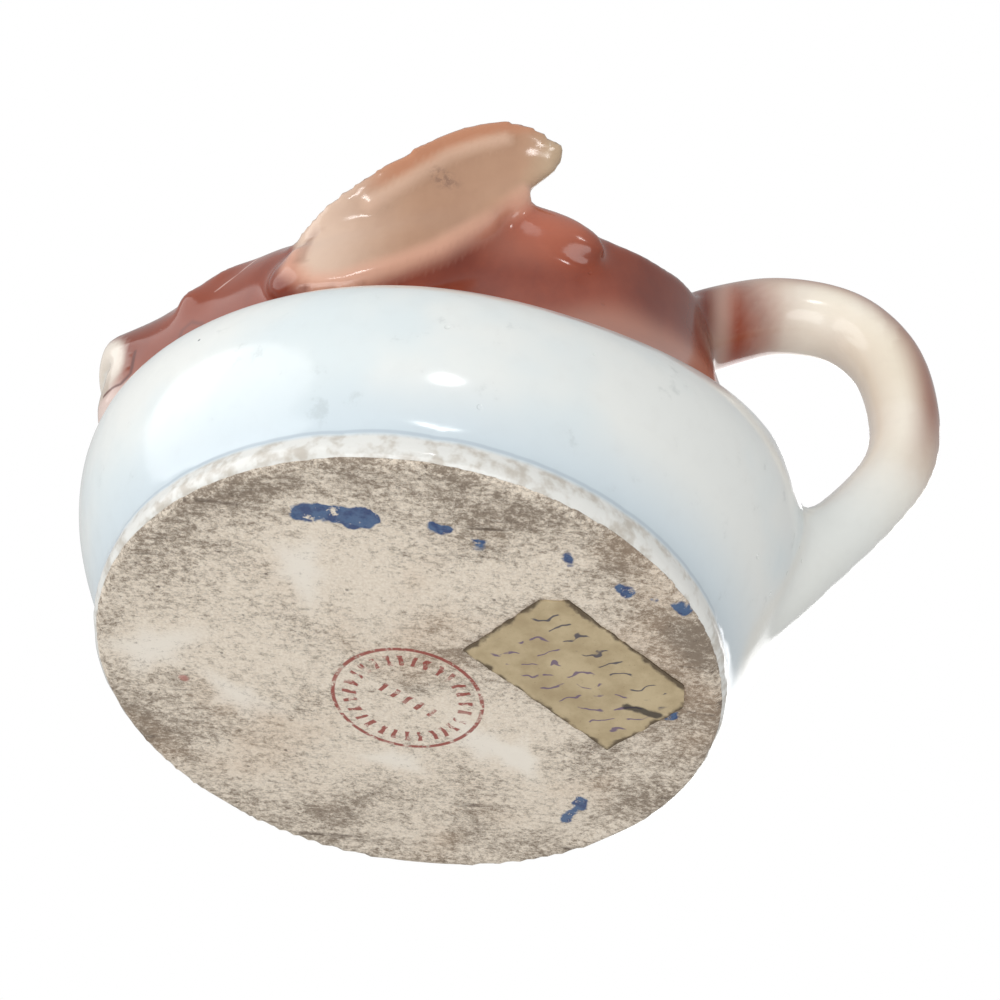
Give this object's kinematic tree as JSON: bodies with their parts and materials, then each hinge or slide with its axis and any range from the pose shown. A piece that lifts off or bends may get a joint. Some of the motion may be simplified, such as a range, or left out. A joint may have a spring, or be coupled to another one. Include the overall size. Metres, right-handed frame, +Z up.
{
  "type": "figural creamer",
  "caption": "Slip-cast glazed pottery creamer shaped as a resting long-eared animal, with a round pale blue belly, brown neck and head, cupped ears and a tail handle.",
  "frame": {"origin": "middle of the oval foot, on the flat underside that the creamer stands on", "axes": "+Z up from the table through the opening, -X towards the animal's nose, +X towards the tail handle, Y across the body"},
  "size_m": [0.1357, 0.0892, 0.0979],
  "materials": {
    "glazed_ceramic": "glossy",
    "label_paper": "matte"
  },
  "bodies": {
    "root": {"creamer_body": "glazed_ceramic", "paper_label": "label_paper"}
  },
  "joints": []
}
